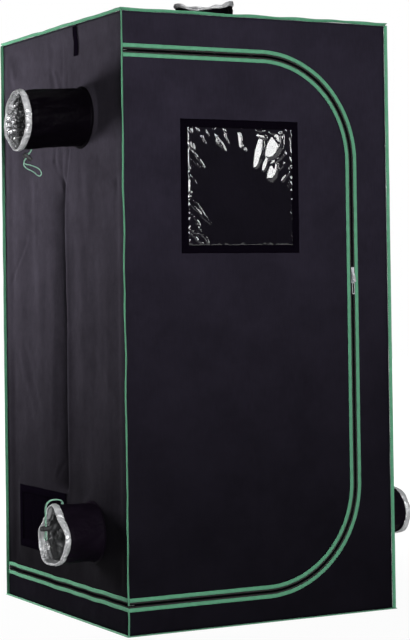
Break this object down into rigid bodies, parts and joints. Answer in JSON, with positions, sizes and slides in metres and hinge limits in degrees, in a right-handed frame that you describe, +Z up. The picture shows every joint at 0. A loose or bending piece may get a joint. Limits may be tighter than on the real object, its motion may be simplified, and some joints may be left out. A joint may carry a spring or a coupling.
{
  "type": "indoor grow tent",
  "caption": "Free-standing square grow tent: tube frame, dark coated fabric shell, D-shaped zip door with window, duct sleeves, mesh vent, hanging bars and lift-out floor tray.",
  "frame": {"origin": "centre of the base, on the floor", "axes": "+Z up, +Y towards the back wall, +X to the right seen from the front"},
  "size_m": [1.17, 0.8227, 1.6968],
  "materials": {
    "corner_moulding": "moulded, fine grain",
    "frame_tube": "white powder coat",
    "shell_fabric": "dark coated woven cloth, silver film inside",
    "sleeve_fabric": "dark woven cloth with silver cuff and lining",
    "window_film": "clear wrinkled film",
    "insect_mesh": "fine black mesh",
    "webbing": "ribbed black tape",
    "zip_tape": "black zip tape and coil",
    "green_binding": "green ribbed binding tape",
    "green_cord": "green braided cord",
    "zip_steel": "plated slider and pull",
    "lock_moulding": "black moulded cord lock",
    "foil_lining": "crumpled silver film on cloth"
  },
  "bodies": {
    "tent": {"connector_bottom_front_left": "corner_moulding", "connector_bottom_front_right": "corner_moulding", "connector_bottom_back_left": "corner_moulding", "connector_bottom_back_right": "corner_moulding", "connector_top_front_left": "corner_moulding", "connector_top_front_right": "corner_moulding", "connector_top_back_left": "corner_moulding", "connector_top_back_right": "corner_moulding", "post_front_left": "frame_tube", "post_front_right": "frame_tube", "post_back_left": "frame_tube", "post_back_right": "frame_tube", "bottom_rail_front": "frame_tube", "bottom_rail_back": "frame_tube", "bottom_rail_left": "frame_tube", "bottom_rail_right": "frame_tube", "top_rail_front": "frame_tube", "top_rail_back": "frame_tube", "top_rail_left": "frame_tube", "top_rail_right": "frame_tube", "floor_panel": "shell_fabric", "roof_panel": "shell_fabric", "back_wall": "shell_fabric", "right_wall": "shell_fabric", "left_wall": "shell_fabric", "left_skirt": "shell_fabric", "front_fascia": "shell_fabric", "vent_mesh": "insect_mesh", "vent_border": "webbing", "zip_frame_half": "zip_tape", "frame_binding": "green_binding", "left_wall_binding": "green_binding", "seam_binding_upper": "green_binding", "seam_binding_lower": "green_binding", "corner_binding_front_left": "green_binding", "sleeve_upper_left": "sleeve_fabric", "sleeve_lower_left": "sleeve_fabric", "sleeve_lower_right": "sleeve_fabric", "sleeve_roof": "sleeve_fabric", "drawcord_upper_left": "green_cord", "drawcord_lower_left": "green_cord", "hanging_strap": "webbing"},
    "door": {"door_panel": "shell_fabric", "window_pane": "window_film", "window_border": "webbing", "zip_door_half": "zip_tape", "door_binding": "green_binding"},
    "window_flap": {"window_flap": "shell_fabric"},
    "vent_flap": {"vent_flap": "shell_fabric"},
    "slider_upper": {"slider_upper": "zip_steel"},
    "slider_lower": {"slider_lower": "zip_steel"},
    "slider_upper_pull": {"slider_upper_pull": "zip_steel"},
    "slider_lower_pull": {"slider_lower_pull": "zip_steel"},
    "hanging_bar_front": {"hanging_bar_front": "frame_tube"},
    "hanging_bar_back": {"hanging_bar_back": "frame_tube"},
    "floor_tray": {"floor_tray": "foil_lining"},
    "cord_lock_upper_left": {"cord_lock_upper_left": "lock_moulding"},
    "cord_lock_lower_left": {"cord_lock_lower_left": "lock_moulding"},
    "cord_lock_button_upper_left": {"cord_lock_button_upper_left": "lock_moulding"},
    "cord_lock_button_lower_left": {"cord_lock_button_lower_left": "lock_moulding"}
  },
  "joints": [
    {"name": "door_swing", "type": "hinge", "parent": "tent", "child": "door", "pos_m": [-0.40636, -0.40636, 0.79], "axis": [0, 0, -1], "range_deg": [0, 175]},
    {"name": "window_flap_hinge", "type": "hinge", "parent": "door", "child": "window_flap", "pos_m": [-0.0585, -0.3982, 1.3345], "axis": [1, 0, 0], "range_deg": [0, 100]},
    {"name": "vent_flap_hinge", "type": "hinge", "parent": "tent", "child": "vent_flap", "pos_m": [-0.3982, 0.148, 0.33], "axis": [0, -1, 0], "range_deg": [0, 100]},
    {"name": "slider_upper_slide", "type": "slide", "parent": "door", "child": "slider_upper", "axis": [0, 0, 1], "range_m": [0, 0.28]},
    {"name": "slider_lower_slide", "type": "slide", "parent": "door", "child": "slider_lower", "axis": [0, 0, -1], "range_m": [0, 0.5]},
    {"name": "slider_upper_pull_hinge", "type": "hinge", "parent": "slider_upper", "child": "slider_upper_pull", "pos_m": [0.2855, -0.40445, 0.9214], "axis": [-1, 0, 0], "range_deg": [0, 120]},
    {"name": "slider_lower_pull_hinge", "type": "hinge", "parent": "slider_lower", "child": "slider_lower_pull", "pos_m": [0.2855, -0.40445, 0.8996], "axis": [-1, 0, 0], "range_deg": [0, 50]},
    {"name": "hanging_bar_front_slide", "type": "slide", "parent": "tent", "child": "hanging_bar_front", "axis": [0, 1, 0], "range_m": [-0.19, 0.1]},
    {"name": "hanging_bar_back_slide", "type": "slide", "parent": "tent", "child": "hanging_bar_back", "axis": [0, 1, 0], "range_m": [-0.1, 0.19]},
    {"name": "floor_tray_lift", "type": "slide", "parent": "tent", "child": "floor_tray", "axis": [0, 0, 1], "range_m": [0, 0.1]},
    {"name": "cord_lock_upper_left_slide", "type": "slide", "parent": "tent", "child": "cord_lock_upper_left", "axis": [0.5736, 0, 0.8192], "range_m": [0, 0.008]},
    {"name": "cord_lock_lower_left_slide", "type": "slide", "parent": "tent", "child": "cord_lock_lower_left", "axis": [0, 0, 1], "range_m": [0, 0.03]},
    {"name": "cord_lock_button_upper_left_press", "type": "slide", "parent": "cord_lock_upper_left", "child": "cord_lock_button_upper_left", "axis": [-0.8192, 0, 0.5736], "range_m": [0, 0.003], "stiffness_N_per_m": 400},
    {"name": "cord_lock_button_lower_left_press", "type": "slide", "parent": "cord_lock_lower_left", "child": "cord_lock_button_lower_left", "axis": [1, 0, 0], "range_m": [0, 0.003], "stiffness_N_per_m": 400}
  ]
}
